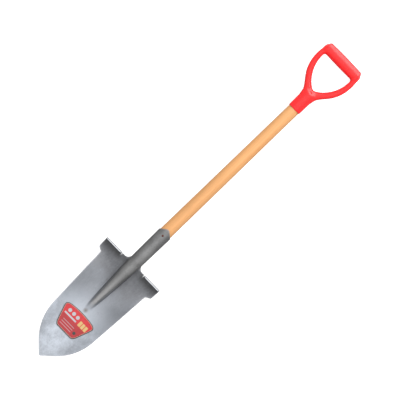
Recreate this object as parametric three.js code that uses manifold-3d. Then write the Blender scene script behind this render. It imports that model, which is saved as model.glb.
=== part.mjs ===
// A round point shovel: a pressed steel head, a turned wooden shaft and a moulded D-grip, with the
// nails, the screw and the label that go on them. Millimetres. +X runs from the blade's point to the
// grip, +Z comes out of the blade's face, and the shovel lies on its back with its box centred on the
// origin. Inside this file x is measured from the point, and y and z from the shaft's axis.
import * as THREE from "three";
import { mergeVertices } from "three/addons/utils/BufferGeometryUtils.js";
import Module from "manifold-3d";

// Lengths along the shovel, from the point to the end of the grip
const BLADE_LENGTH = 310; // point to the tread line
const SOCKET_LENGTH = 117; // tread line to the end of the socket's tongue
const BARE_SHAFT = 416; // wood that shows between the socket and the grip
const GRIP_LENGTH = 177; // mouth of the grip to the far side of its bar
const FIT = 0.3; // clearance between pieces that touch

// Blade
const SHEET = 1.8; // thickness of the steel
const BLADE_WIDTH = 153.6; // across the blade, just below the ears
const SIDE_TAPER = 3.2; // each side's angle to the centre line, degrees
const NOSE_ANGLE = 46.5; // each nose edge's angle to the centre line, degrees
const SHOULDER_RADIUS = 130; // between the nose and the sides
const TIP_RADIUS = 3.5;
const HEEL_DROP = 19.5; // blade's lowest line under the shaft's axis
const HEEL_BACK = 15; // that line's distance below the tread line
const LIFT_SLOPE = 0.26; // rise of the blade towards the point
const LIFT_RUN = 60; // length over which that rise begins
const DISH_DEPTH = 21; // rise of the blade's sides over its centre line
const DISH_RUN = 110; // the dish grows to its full depth over this length

// Ears and treads
const EAR_SPAN = 181; // across both ears at the tread line
const EAR_HEIGHT = 27;
const EAR_SHOULDER = 9; // length of the ear's sloping lower edge
const TREAD_GAP = 76; // between the two treads
const TREAD_DEPTH = 22;
const TREAD_BEND = 7; // bend radius of the tread
const TREAD_LEAN = 8; // lean of the tread towards the point, degrees
const TREAD_INNER_CORNER = 9;
const TREAD_OUTER_CORNER = 5;
const RELIEF = 1.8; // notch beside the tread's inner end

// Frog: the hollow ridge that carries the socket down the blade
const FROG_LENGTH = 161; // below the tread line
const FROG_END_WIDTH = 19;
const FROG_END_ROUNDING = 16; // length over which the frog's end rounds off
const FROG_END_BLUNTNESS = 1.15; // 1 would bring that end to a point
const FROG_WIDEST_SHARE = 0.3; // of the blade's width, at the frog's end
const FROG_FOOT_RADIUS = 3;
const FROG_CREST = 0.5; // flat part of the crest at the frog's end, where 3 is the whole half width
const FROG_CURVE = 1.5; // of the crest's line: 1 is straight
const FROG_FADE = 6; // a higher number keeps the frog's full height closer to its end
const NECK_LENGTH = 34; // over which the frog's open section closes to a tube
const NECK_WAIST = 0.22; // share by which the flanks are cut short in the middle of the neck
const HEM_LENGTH = 0.33; // share of the neck along which the blade's edge sweeps up into it
const HEM_REACH = 0.5; // how far out that sweep starts, as a share of the web
const SEAM_GAP = 7;
const TONGUE_LENGTH = 12.3;
const TONGUE_SLOPE = 0.92; // of the tongue's two edges, as seen from in front
const TONGUE_ROUND = 4.4;

// Shaft
const SHAFT_NECK_DIAMETER = 30.4; // at the tread line
const SHAFT_MOUTH_DIAMETER = 33.1; // where it leaves the socket
const SHAFT_GRIP_DIAMETER = 31; // where it meets the grip
const SHAFT_END_DIAMETER = 17;
const SHAFT_END_DEPTH = 62; // how far it reaches below the tread line
const SPIGOT_DIAMETER = 28;
const SPIGOT_LENGTH = 48;

// Grip
const GRIP_MOUTH_DIAMETER = 34.2;
const GRIP_SOCKET_DIAMETER = 35.2;
const GRIP_SOCKET_LENGTH = 44;
const GRIP_THROAT = 65; // mouth to the bottom of the hand opening
const GRIP_WIDTH = 118;
const OPENING_WIDTH = 90.4;
const BAR_DIAMETER = 31;
const BAR_END_DIAMETER = 28.6;
const BAR_LENGTH = 112;
const ARM_THICKNESS = 23;
const ARM_FLARE = 7; // past the throat, where the arm's outer side leans out most
const ARM_FLARE_INSIDE = 12; // the same for the hand opening's side
const ARM_STRAIGHT = 10; // last part of the arm before the bar
const ARM_CORNER = 12; // rounding of the opening's corners at the bar
const ARM_ROUND = 5.4; // how far the rounding of the arm's edges reaches in

// Nails, screw and label
const NAIL_DIAMETER = 2.6;
const NAIL_HEAD_DIAMETER = 5.2;
const NAIL_HEAD_HEIGHT = 1.3;
const NAIL_LENGTH = 14;
const NAIL_POINT = 4; // length of its tapering end
const FRONT_NAIL_BACK = 19.5; // from the end of the tongue
const REAR_NAIL_BACK = 28;
const REAR_NAIL_ANGLE = 31; // from the seam round the socket, degrees
const SCREW_DIAMETER = 4;
const SCREW_HEAD_DIAMETER = 8;
const SCREW_HEAD_HEIGHT = 2.6;
const SCREW_LENGTH = 22;
const SCREW_POINT = 4; // length of its tapering end
const SCREW_FROM_MOUTH = 22; // of the grip
const SCREW_SINK = 0.7; // head below the grip's surface
const SCREW_SLOT_LENGTH = 5; // the cross in the screw's head
const SCREW_SLOT_WIDTH = 1.1;
const SCREW_SLOT_DEPTH = 1.2;
const LABEL_FROM_POINT = 79;
const LABEL_LENGTH = 58.5;
const LABEL_TOP_WIDTH = 97;
const LABEL_FOOT_WIDTH = 60;
const LABEL_ARCH = 4; // rise of its upper edge at the middle
const LABEL_CORNER = 0.07; // share by which its four corners are drawn in across
const LABEL_CURVE = 0.06; // share by which they are drawn in along
const LABEL_THICKNESS = 0.3;
const LABEL_GAP = 0.55; // film's distance from the blade's face

// Places that follow from the sizes
const TONGUE_END = BLADE_LENGTH + SOCKET_LENGTH;
const GRIP_MOUTH = TONGUE_END + BARE_SHAFT;
const EAR_START = BLADE_LENGTH - EAR_HEIGHT;

const { degToRad, lerp, clamp, smoothstep } = THREE.MathUtils;
const wasm = await Module();
wasm.setup();

// Solids

function toSolid(geometry) {
  const bare = new THREE.BufferGeometry();
  bare.setAttribute("position", geometry.getAttribute("position"));
  if (geometry.index) bare.setIndex(geometry.index);
  const merged = mergeVertices(bare, 1e-3);
  const vertProperties = new Float32Array(merged.attributes.position.array);
  const triVerts = new Uint32Array(merged.index.array);
  return new wasm.Manifold(new wasm.Mesh({ numProp: 3, vertProperties, triVerts }));
}

function toMesh(name, solid, look) {
  const { vertProperties, triVerts } = solid.getMesh();
  const geometry = new THREE.BufferGeometry();
  geometry.setAttribute("position", new THREE.BufferAttribute(vertProperties, 3));
  geometry.setIndex(new THREE.BufferAttribute(triVerts, 1));
  const flat = geometry.toNonIndexed();
  flat.computeVertexNormals();
  const mesh = new THREE.Mesh(flat, new THREE.MeshStandardMaterial(look));
  mesh.name = name;
  return mesh;
}

// A turned solid along +X: its profile is [x, radius] pairs that start and end on the axis.
function turned(profile, segments) {
  const points = profile.map(([x, radius]) => new THREE.Vector2(radius, x));
  return new THREE.LatheGeometry(points, segments).rotateZ(-Math.PI / 2);
}

// A turned solid that points inwards at the shaft's axis: depth is measured from a point on the
// socket or the grip at the given distance from the axis, angle is measured round from the top.
function radial(profile, x, distance, angle, segments = 16) {
  const place = new THREE.Matrix4()
    .makeTranslation(x, 0, 0)
    .multiply(new THREE.Matrix4().makeRotationX(-angle))
    .multiply(new THREE.Matrix4().makeTranslation(0, 0, distance))
    .multiply(new THREE.Matrix4().makeRotationY(Math.PI / 2));
  return toSolid(turned(profile, segments).applyMatrix4(place));
}

// Thickens a middle surface, given as four-sided faces of Vector3 corners, into a closed sheet.
function thickened(faces, thickness) {
  const corners = faces.flat();
  const loose = new THREE.BufferGeometry().setFromPoints(corners);
  const halves = (face) => (face[0].y + face[2].y < 0 ? [1, 2, 3, 1, 3, 0] : [0, 1, 2, 0, 2, 3]);
  loose.setIndex(faces.flatMap((face, i) => halves(face).map((k) => 4 * i + k)));
  const surface = mergeVertices(loose, 1e-3);
  const kept = [];
  for (let i = 0; i < surface.index.count; i += 3) {
    const triangle = [0, 1, 2].map((k) => surface.index.getX(i + k));
    if (new Set(triangle).size === 3) kept.push(triangle);
  }
  surface.setIndex(kept.flat());
  surface.computeVertexNormals();
  const middle = surface.attributes.position;
  const normal = surface.attributes.normal;
  const position = [];
  for (const side of [thickness / 2, -thickness / 2])
    for (let i = 0; i < middle.count; i++) {
      position.push(middle.getX(i) + side * normal.getX(i));
      position.push(middle.getY(i) + side * normal.getY(i));
      position.push(middle.getZ(i) + side * normal.getZ(i));
    }
  const under = middle.count;
  const edges = new Set(kept.flatMap(([a, b, c]) => [`${a},${b}`, `${b},${c}`, `${c},${a}`]));
  const index = kept.flatMap(([a, b, c]) => [a, b, c, under + c, under + b, under + a]);
  for (const edge of edges) {
    const [a, b] = edge.split(",").map(Number);
    if (!edges.has(`${b},${a}`)) index.push(b, a, under + a, b, under + a, under + b);
  }
  const sheet = new THREE.BufferGeometry();
  sheet.setAttribute("position", new THREE.Float32BufferAttribute(position, 3));
  sheet.setIndex(index);
  return toSolid(sheet);
}

// Four-sided faces over a grid of rows and columns of a surface
function patch(pointAt, rows, columns) {
  const grid = rows.map((row) => columns.map((column) => pointAt(row, column)));
  const faces = [];
  for (let i = 1; i < rows.length; i++)
    for (let j = 1; j < columns.length; j++)
      faces.push([grid[i - 1][j - 1], grid[i][j - 1], grid[i][j], grid[i - 1][j]]);
  return faces;
}

// Evenly spaced values, both ends included
function spread(from, to, count) {
  return Array.from({ length: count + 1 }, (_, i) => lerp(from, to, i / count));
}

// Shaft sizes

function shaftRadius(x) {
  const along = clamp((x - BLADE_LENGTH) / SOCKET_LENGTH, 0, 1);
  return lerp(SHAFT_NECK_DIAMETER, SHAFT_MOUTH_DIAMETER, along) / 2;
}

// Radius of the socket's middle surface round the shaft
function socketRadius(x) {
  return shaftRadius(x) + FIT + SHEET / 2;
}

// Blade outline: half the width at a distance x from the point

function sideHalfWidth(x) {
  const nose = degToRad(NOSE_ANGLE);
  const side = degToRad(SIDE_TAPER);
  const apex = TIP_RADIUS - TIP_RADIUS / Math.sin(nose);
  const sideAt = (at) => BLADE_WIDTH / 2 + (at - EAR_START) * Math.tan(side);
  const crossing = (sideAt(0) + apex * Math.tan(nose)) / (Math.tan(nose) - Math.tan(side));
  const tangent = SHOULDER_RADIUS * Math.tan((nose - side) / 2);
  const arcEnd = crossing + tangent * Math.cos(side);
  const centre = arcEnd + SHOULDER_RADIUS * Math.sin(side);
  const rise = sideAt(arcEnd) - SHOULDER_RADIUS * Math.cos(side);
  if (x < TIP_RADIUS * (1 - Math.sin(nose))) return Math.sqrt(x * (2 * TIP_RADIUS - x));
  if (x < crossing - tangent * Math.cos(nose)) return (x - apex) * Math.tan(nose);
  if (x < arcEnd) return rise + Math.sqrt(SHOULDER_RADIUS ** 2 - (x - centre) ** 2);
  return sideAt(x);
}

function halfWidth(x) {
  const ear = EAR_SPAN / 2 - (BLADE_LENGTH - x) * Math.tan(degToRad(SIDE_TAPER));
  return lerp(sideHalfWidth(x), ear, smoothstep(x, EAR_START - EAR_SHOULDER, EAR_START));
}

// Blade surface, with u measured back from the tread line towards the point

function plateHeight(u) {
  return -HEEL_DROP + LIFT_SLOPE * (Math.hypot(u - HEEL_BACK, LIFT_RUN) - LIFT_RUN);
}

function dishRise(u, y) {
  return DISH_DEPTH * (y / (BLADE_WIDTH / 2)) ** 2 * smoothstep(u, TREAD_BEND, DISH_RUN);
}

function frogHeight(u) {
  const neck = socketRadius(BLADE_LENGTH);
  const along = clamp(u / FROG_LENGTH, 0, 1);
  const crest = lerp(neck, plateHeight(FROG_LENGTH), along ** FROG_CURVE);
  return (crest - plateHeight(u)) * (1 - along ** FROG_FADE);
}

function frogHalfWidth(u) {
  const neck = socketRadius(BLADE_LENGTH) + FROG_FOOT_RADIUS;
  const line = lerp(neck, FROG_END_WIDTH / 2, clamp(u / FROG_LENGTH, 0, 1));
  const past = clamp((u - FROG_LENGTH) / FROG_END_ROUNDING + 1, 0, 1.1) / FROG_END_BLUNTNESS;
  const rounded = line * Math.sqrt(1 - past ** 2);
  const widest = lerp(1, FROG_WIDEST_SHARE, clamp(u / FROG_LENGTH, 0, 1));
  return Math.min(rounded, widest * sideHalfWidth(BLADE_LENGTH - u));
}

// The section of the frog and the socket is three arcs in a row, from the crest down one side:
// the crown, the flank and the foot. closing is 0 where the foot flares out into the blade and 1
// where the flank and the foot have rolled on round the shaft.
function sectionArcs(x, closing) {
  const radius = socketRadius(x);
  const flank = -plateHeight(0) - FROG_FOOT_RADIUS;
  const foot = (FROG_FOOT_RADIUS * Math.PI) / 2;
  const quarter = (radius * Math.PI) / 2;
  const waist = 1 - NECK_WAIST * 4 * closing * (1 - closing);
  const grown = lerp(1, (quarter - SEAM_GAP / 2) / (flank + foot), closing) * waist;
  return [
    { length: quarter, bend: 1 / radius },
    { length: flank * grown, bend: closing / radius },
    { length: foot * grown, bend: lerp(-1 / FROG_FOOT_RADIUS, 1 / radius, closing) },
  ];
}

// Point of the section, with the way the section heads there: q runs 0 to 1 over the crown, 1 to 2
// over the flank and 2 to 3 over the foot.
function sectionPoint(x, closing, q) {
  let [y, z, angle] = [0, 0, 0];
  sectionArcs(x, closing).forEach(({ length, bend }, i) => {
    const walked = length * clamp(q - i, 0, 1);
    const heading = angle + walked * bend;
    const straight = Math.abs(bend) < 1e-6;
    y += straight ? walked * Math.cos(angle) : (Math.sin(heading) - Math.sin(angle)) / bend;
    z += straight ? -walked * Math.sin(angle) : (Math.cos(heading) - Math.cos(angle)) / bend;
    angle = heading;
  });
  return [y, z, angle];
}

// Blade: q is 0 to 3 over the frog, 3 to 4 over the web beside it, and 4 to 5 over the wing.
function bladePoint(x, q) {
  const u = BLADE_LENGTH - x;
  const across = Math.abs(q);
  const frog = frogHalfWidth(u);
  const topFrog = frogHalfWidth(TREAD_BEND);
  const topSide = sideHalfWidth(BLADE_LENGTH - TREAD_BEND);
  const share = (TREAD_GAP / 2 - topFrog) / (topSide - topFrog);
  const web = lerp(frog, sideHalfWidth(x), share);
  let y = lerp(frog, web, across - 3);
  let rise = 0;
  if (across > 4) y = lerp(web, halfWidth(x), across - 4);
  if (across < 3) {
    const [steepY, steepZ] = sectionPoint(BLADE_LENGTH, 0, across);
    const [footY, footZ] = sectionPoint(BLADE_LENGTH, 0, 3);
    const soft = smoothstep(u, 0, FROG_LENGTH);
    y = frog * lerp(steepY / footY, across / 3, soft);
    const steep = 1 - steepZ / footZ;
    const gentle = 1 - smoothstep(across, FROG_CREST, 3);
    rise = frogHeight(u) * lerp(steep, gentle, soft);
  }
  const z = plateHeight(u) + dishRise(u, y) + rise;
  return new THREE.Vector3(x, Math.sign(q) * y, z);
}

// The strip between the bend of the treads and the tread line, with a notch beside each tread
function webPoint(x, q) {
  const point = bladePoint(x, q);
  const past = (x - BLADE_LENGTH + TREAD_BEND) / TREAD_BEND;
  const notch = RELIEF * Math.sqrt(past) * clamp(Math.abs(q) - 3, 0, 1);
  point.y -= Math.sign(q) * notch;
  return point;
}

// How far the tongue's edge lies below its tip, at a turn round the socket from the crest
function tongueDrop(turn) {
  const across = socketRadius(TONGUE_END) * Math.sin(turn);
  return Math.min(TONGUE_SLOPE * (Math.hypot(across, TONGUE_ROUND) - TONGUE_ROUND), TONGUE_LENGTH);
}

// Neck and socket: v is 0 to 1 over the neck and 1 to 2 over the tube above it.
function socketPoint(v, q) {
  const neckEnd = BLADE_LENGTH + NECK_LENGTH;
  const top = TONGUE_END - tongueDrop(Math.min(Math.abs(q), 1) * (Math.PI / 2));
  const x = v < 1 ? lerp(BLADE_LENGTH, neckEnd, v) : lerp(neckEnd, top, v - 1);
  const closing = smoothstep(x, BLADE_LENGTH, neckEnd);
  const [y, z] = sectionPoint(x, closing, Math.abs(q));
  return new THREE.Vector3(x, Math.sign(q) * y, socketRadius(x) + z);
}

// Hem along the foot of the neck, where the web's edge sweeps up into it: q is 3 at the foot.
function hemPoint(v, q) {
  const x = lerp(BLADE_LENGTH, BLADE_LENGTH + NECK_LENGTH, v);
  const closing = smoothstep(x, BLADE_LENGTH, BLADE_LENGTH + NECK_LENGTH);
  const [y, z, heading] = sectionPoint(x, closing, 3);
  const widest = webPoint(BLADE_LENGTH, 3 + HEM_REACH).y - webPoint(BLADE_LENGTH, 3).y;
  const left = Math.max(1 - v / HEM_LENGTH, 0);
  const reach = widest * (1 - Math.sqrt(1 - left ** 2)) * ((Math.abs(q) - 3) / HEM_REACH);
  const side = Math.sign(q) * (y + reach * Math.cos(heading));
  return new THREE.Vector3(x, side, socketRadius(x) + z - reach * Math.sin(heading));
}

// Tread: v is 0 to 1 round the bend and 1 to 2 up the wall.
function treadPoint(v, q) {
  const foot = bladePoint(BLADE_LENGTH - TREAD_BEND, q);
  const turn = degToRad(90 + TREAD_LEAN) * Math.min(v, 1);
  const inner = Math.max(TREAD_GAP / 2 + TREAD_INNER_CORNER - Math.abs(foot.y), 0);
  const outerLine = halfWidth(BLADE_LENGTH - TREAD_BEND) - TREAD_OUTER_CORNER;
  const outer = Math.max(Math.abs(foot.y) - outerLine, 0);
  const corner = (radius, into) => radius - Math.sqrt(Math.max(radius ** 2 - into ** 2, 0));
  const cut = corner(TREAD_INNER_CORNER, inner) + corner(TREAD_OUTER_CORNER, outer);
  const wall = (TREAD_DEPTH - TREAD_BEND - cut) * Math.max(v - 1, 0);
  foot.x += TREAD_BEND * Math.sin(turn) + wall * Math.cos(turn);
  foot.z += TREAD_BEND * (1 - Math.cos(turn)) + wall * Math.sin(turn);
  return foot;
}

function mirrored(half) {
  return [...half.slice(1).map((q) => -q).reverse(), ...half];
}

function bladeHead() {
  const frog = [...spread(0, 1, 6), ...spread(1, 2, 4).slice(1), 2.33, 2.67, 3];
  const hem = [3, 3 + HEM_REACH];
  const web = [3 + HEM_REACH, 4];
  const wing = [4, 4.08, 4.2, 4.45, 4.7, 4.9, 5];
  const bendStart = BLADE_LENGTH - TREAD_BEND;
  const rows = [
    ...[0, 0.15, 0.6, 2].map((part) => part * TIP_RADIUS),
    ...spread(TIP_RADIUS * 4, SHOULDER_RADIUS * 0.8, 8),
    ...spread(SHOULDER_RADIUS * 0.92, EAR_START - EAR_SHOULDER, 9),
    ...spread(EAR_START - EAR_SHOULDER, EAR_START, 3).slice(1),
    (EAR_START + bendStart) / 2,
    bendStart,
  ];
  const hemRows = spread(0, HEM_LENGTH, 4);
  const neckRows = [...hemRows, ...spread(HEM_LENGTH, 1, 4).slice(1), ...spread(1, 2, 5).slice(1)];
  const treadRows = [...spread(0, 1, 3), 1.5, 2];
  const sheet = thickened(
    [
      ...patch(bladePoint, rows, mirrored([...frog, ...web, ...wing.slice(1)])),
      ...patch(webPoint, spread(bendStart, BLADE_LENGTH, 2), mirrored([...frog, ...web])),
      ...patch(socketPoint, neckRows, mirrored(frog)),
      ...patch(hemPoint, hemRows, hem),
      ...patch(hemPoint, hemRows, hem.map((q) => -q).reverse()),
      ...patch(treadPoint, treadRows, wing),
      ...patch(treadPoint, treadRows, wing.map((q) => -q).reverse()),
    ],
    SHEET,
  );
  return nailPlaces().reduce((head, place) => head.subtract(nailHole(place, 8)), sheet);
}

// Shaft

function shaft() {
  const tail = BLADE_LENGTH - SHAFT_END_DEPTH;
  const tailRadius = SHAFT_END_DIAMETER / 2;
  const shoulder = GRIP_MOUTH - FIT;
  const profile = [
    [tail, 0],
    [tail, tailRadius - 3],
    [tail + 0.9, tailRadius - 0.9],
    [tail + 3, tailRadius],
    [BLADE_LENGTH, shaftRadius(BLADE_LENGTH)],
    [TONGUE_END, shaftRadius(TONGUE_END)],
    [shoulder - 1, SHAFT_GRIP_DIAMETER / 2],
    [shoulder, SHAFT_GRIP_DIAMETER / 2 - 1],
    [shoulder, SPIGOT_DIAMETER / 2],
    [GRIP_MOUTH + SPIGOT_LENGTH - 2, SPIGOT_DIAMETER / 2],
    [GRIP_MOUTH + SPIGOT_LENGTH, SPIGOT_DIAMETER / 2 - 2],
    [GRIP_MOUTH + SPIGOT_LENGTH, 0],
  ];
  const drilled = nailPlaces().reduce(
    (wood, place) => wood.subtract(nailHole(place, NAIL_LENGTH + 2 * FIT)),
    toSolid(turned(profile, 32)),
  );
  return drilled.subtract(screwHole());
}

// Nails and screw

function nailPlaces() {
  const rear = Math.PI - degToRad(REAR_NAIL_ANGLE);
  return [
    { name: "socket_nail_front", x: TONGUE_END - FRONT_NAIL_BACK, angle: 0 },
    { name: "socket_nail_left", x: TONGUE_END - REAR_NAIL_BACK, angle: -rear },
    { name: "socket_nail_right", x: TONGUE_END - REAR_NAIL_BACK, angle: rear },
  ];
}

function nailSeat(x) {
  return socketRadius(x) + SHEET / 2 + FIT;
}

function nail({ x, angle }) {
  const head = NAIL_HEAD_DIAMETER / 2;
  const shank = NAIL_DIAMETER / 2;
  const profile = [
    [-NAIL_HEAD_HEIGHT, 0],
    [-NAIL_HEAD_HEIGHT * 0.8, head * 0.6],
    [-NAIL_HEAD_HEIGHT * 0.3, head],
    [0, head],
    [0, shank],
    [NAIL_LENGTH - NAIL_POINT, shank],
    [NAIL_LENGTH, 0],
  ];
  return radial(profile, x, nailSeat(x), angle);
}

function nailHole({ x, angle }, depth) {
  const radius = NAIL_DIAMETER / 2 + FIT;
  const profile = [
    [-2, 0],
    [-2, radius],
    [depth, radius],
    [depth, 0],
  ];
  return radial(profile, x, nailSeat(x), angle);
}

function screwProfile(room) {
  const head = SCREW_HEAD_DIAMETER / 2 + room;
  const shank = SCREW_DIAMETER / 2 + room;
  const top = room ? -SCREW_SINK - 1 : 0;
  return [
    [top, 0],
    [top, head],
    [0.4, head],
    [SCREW_HEAD_HEIGHT, shank],
    [SCREW_LENGTH - SCREW_POINT + room, shank],
    [SCREW_LENGTH + room, 0],
  ];
}

function screwAt(profile) {
  const seat = GRIP_SOCKET_DIAMETER / 2 - SCREW_SINK;
  return radial(profile, GRIP_MOUTH + SCREW_FROM_MOUTH, seat, Math.PI, 24);
}

function screwHole() {
  return screwAt(screwProfile(FIT));
}

function gripScrew() {
  const seat = GRIP_SOCKET_DIAMETER / 2 - SCREW_SINK;
  const slot = (length, width) =>
    toSolid(
      new THREE.BoxGeometry(length, width, 2 * SCREW_SLOT_DEPTH).translate(
        GRIP_MOUTH + SCREW_FROM_MOUTH,
        0,
        -seat,
      ),
    );
  return screwAt(screwProfile(0))
    .subtract(slot(SCREW_SLOT_LENGTH, SCREW_SLOT_WIDTH))
    .subtract(slot(SCREW_SLOT_WIDTH, SCREW_SLOT_LENGTH));
}

// Grip

// Outline of one side of the frame from the socket to the bar, and of the hand opening's side, as
// curves whose [distance from the mouth, distance from the axis] points follow the grip's sizes
function gripCurves() {
  const outer = GRIP_WIDTH / 2;
  const inner = OPENING_WIDTH / 2;
  const socket = GRIP_SOCKET_DIAMETER / 2;
  const barFace = GRIP_LENGTH - BAR_DIAMETER;
  const outside = new THREE.CurvePath();
  const inside = new THREE.CurvePath();
  const curve = (path, ...points) =>
    path.add(new THREE.QuadraticBezierCurve(...points.map(([x, y]) => new THREE.Vector2(x, y))));
  const lean = [GRIP_THROAT + ARM_FLARE, 0.612 * outer];
  const leanIn = [GRIP_THROAT + ARM_FLARE_INSIDE, 0.417 * inner];
  const armEnd = barFace - ARM_STRAIGHT;
  curve(outside, [GRIP_SOCKET_LENGTH - 2, socket - 0.3], [GRIP_SOCKET_LENGTH + 5.6, socket - 0.3], lean);
  curve(outside, lean, [GRIP_THROAT + 33.5, outer], [armEnd, outer]);
  curve(outside, [armEnd, outer], [barFace + 5, outer], [barFace + 19, outer - 4]);
  curve(inside, [GRIP_THROAT, 0], [GRIP_THROAT, 0.13 * inner], leanIn);
  curve(inside, leanIn, [GRIP_THROAT + 37, inner - 1.8], [armEnd, inner]);
  curve(inside, [armEnd, inner], [barFace, inner], [barFace, inner - ARM_CORNER]);
  return { outside, inside };
}

function gripFrame() {
  const { outside, inside } = gripCurves();
  const trace = (path, count) =>
    path.curves.flatMap((part, i) => part.getPoints(count).slice(i ? 1 : 0));
  const otherSide = (points) => points.map((p) => new THREE.Vector2(p.x, -p.y)).reverse();
  const outer = trace(outside, 6);
  const inner = trace(inside, 5);
  const shape = new THREE.Shape([...outer, ...otherSide(outer)]);
  shape.holes.push(new THREE.Path([...otherSide(inner), ...inner.slice(1)].reverse()));
  const round = ARM_THICKNESS * 0.42;
  const depth = ARM_THICKNESS - 2 * round;
  const geometry = new THREE.ExtrudeGeometry(shape, {
    depth,
    bevelThickness: round,
    bevelSize: ARM_ROUND,
    bevelOffset: -ARM_ROUND,
    bevelSegments: 4,
  });
  return toSolid(geometry.translate(GRIP_MOUTH, 0, -depth / 2));
}

function gripSocket() {
  const end = GRIP_MOUTH + GRIP_SOCKET_LENGTH;
  const radius = GRIP_SOCKET_DIAMETER / 2;
  const dome = spread(0, Math.PI / 2, 5).map((turn) => [
    end + (GRIP_THROAT - GRIP_SOCKET_LENGTH) * Math.sin(turn),
    radius * Math.cos(turn),
  ]);
  dome[5][1] = 0;
  const mouth = GRIP_MOUTH_DIAMETER / 2;
  const profile = [[GRIP_MOUTH, 0], [GRIP_MOUTH, mouth - 0.8], [GRIP_MOUTH + 0.8, mouth], ...dome];
  return toSolid(turned(profile, 40));
}

function gripBar() {
  const [radius, endRadius] = [BAR_DIAMETER / 2, BAR_END_DIAMETER / 2];
  const half = BAR_LENGTH / 2;
  // [distance from the middle, radius] over the domed end and the barrelled side
  const end = [
    [half, 0],
    [half - 1, endRadius * 0.42],
    [half - 3.6, endRadius * 0.8],
    [half - 6, endRadius * 0.94],
    [half - 9, endRadius],
    [half * 0.4, lerp(endRadius, radius, 0.8)],
    [half * 0.15, radius],
  ];
  const profile = [...end.map(([x, r]) => [-x, r]), ...[...end].reverse()];
  const geometry = turned(profile, 32).rotateZ(Math.PI / 2);
  return toSolid(geometry.translate(GRIP_MOUTH + GRIP_LENGTH - radius, 0, 0));
}

function dGrip() {
  const bore = SPIGOT_DIAMETER / 2 + FIT;
  const bottom = GRIP_MOUTH + SPIGOT_LENGTH + FIT;
  const boreProfile = [
    [GRIP_MOUTH - 1, 0],
    [GRIP_MOUTH - 1, bore],
    [bottom, bore],
    [bottom + 2, bore - 3],
    [bottom + 2, 0],
  ];
  return gripFrame()
    .add(gripSocket())
    .add(gripBar())
    .subtract(toSolid(turned(boreProfile, 40)))
    .subtract(screwHole());
}

// Label: a thin sheet that lies over the blade, wider at the top, with an arched upper edge

function labelPoint(v, side) {
  const half = lerp(LABEL_FOOT_WIDTH, LABEL_TOP_WIDTH, v) / 2;
  const end = 2 * v - 1;
  const y = side * half * (1 - LABEL_CORNER * end ** 8);
  const arch = LABEL_ARCH * v * (1 - side ** 2);
  const drawnIn = LABEL_CURVE * LABEL_LENGTH * end * side ** 12;
  const x = LABEL_FROM_POINT + LABEL_LENGTH * v + arch - drawnIn;
  const surface = (atX, atY) => {
    const u = BLADE_LENGTH - atX;
    return new THREE.Vector3(atX, atY, plateHeight(u) + dishRise(u, atY));
  };
  const at = surface(x, y);
  const along = surface(x + 0.01, y).sub(at);
  const across = surface(x, y + 0.01).sub(at);
  const normal = along.cross(across).normalize();
  return at.addScaledVector(normal, SHEET / 2 + LABEL_GAP + LABEL_THICKNESS / 2);
}

function bladeLabel() {
  const faces = patch(labelPoint, [0, 0.08, ...spread(0.25, 0.75, 3), 0.92, 1], [
    ...[-1, -0.94, -0.8],
    ...spread(-0.6, 0.6, 6),
    ...[0.8, 0.94, 1],
  ]);
  return thickened(faces, LABEL_THICKNESS);
}

// Assembly

const STEEL = { color: 0x9aa0a8, metalness: 0.8, roughness: 0.5 };
const NAIL_STEEL = { color: 0x6a4038, metalness: 0.6, roughness: 0.6 };
const WOOD = { color: 0xeeb47a, metalness: 0, roughness: 0.6 };
const RED_PLASTIC = { color: 0xf03538, metalness: 0, roughness: 0.3 };
const LABEL_PRINT = { color: 0xd8323a, metalness: 0, roughness: 0.35 };

const shovel = new THREE.Group();
shovel.add(toMesh("blade_head", bladeHead(), STEEL));
shovel.add(toMesh("shaft", shaft(), WOOD));
shovel.add(toMesh("d_grip", dGrip(), RED_PLASTIC));
for (const place of nailPlaces()) shovel.add(toMesh(place.name, nail(place), NAIL_STEEL));
shovel.add(toMesh("grip_screw", gripScrew(), STEEL));
shovel.add(toMesh("blade_label", bladeLabel(), LABEL_PRINT));

const box = new THREE.Box3().setFromObject(shovel);
const middle = box.getCenter(new THREE.Vector3());
shovel.position.set(-middle.x, -middle.y, -box.min.z);

export default shovel;
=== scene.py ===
import math

import bpy
import numpy as np
from bpy.props import FloatProperty, FloatVectorProperty, PointerProperty
from mathutils import Matrix, Vector
from mathutils.kdtree import KDTree


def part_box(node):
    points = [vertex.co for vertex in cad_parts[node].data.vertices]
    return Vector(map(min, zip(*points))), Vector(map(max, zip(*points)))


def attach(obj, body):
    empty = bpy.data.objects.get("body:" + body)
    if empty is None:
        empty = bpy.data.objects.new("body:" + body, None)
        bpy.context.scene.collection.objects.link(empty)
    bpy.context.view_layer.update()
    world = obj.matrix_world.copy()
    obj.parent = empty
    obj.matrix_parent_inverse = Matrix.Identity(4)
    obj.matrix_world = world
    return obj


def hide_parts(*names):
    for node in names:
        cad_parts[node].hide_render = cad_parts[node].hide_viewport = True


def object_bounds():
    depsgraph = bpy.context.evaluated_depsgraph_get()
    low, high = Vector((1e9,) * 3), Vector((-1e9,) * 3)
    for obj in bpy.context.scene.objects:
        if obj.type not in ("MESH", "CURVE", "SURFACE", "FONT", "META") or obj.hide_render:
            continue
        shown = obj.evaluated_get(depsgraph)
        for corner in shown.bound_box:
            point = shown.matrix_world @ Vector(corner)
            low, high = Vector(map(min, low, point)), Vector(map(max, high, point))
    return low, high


bl_info = {
    "name": "Round point shovel",
    "version": (1, 0, 0),
    "blender": (4, 5, 0),
    "location": "3D View > Sidebar > Shovel",
    "description": "Makes a round point shovel with a pressed steel head, a wooden shaft and a D-grip",
    "category": "Object",
}

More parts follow.
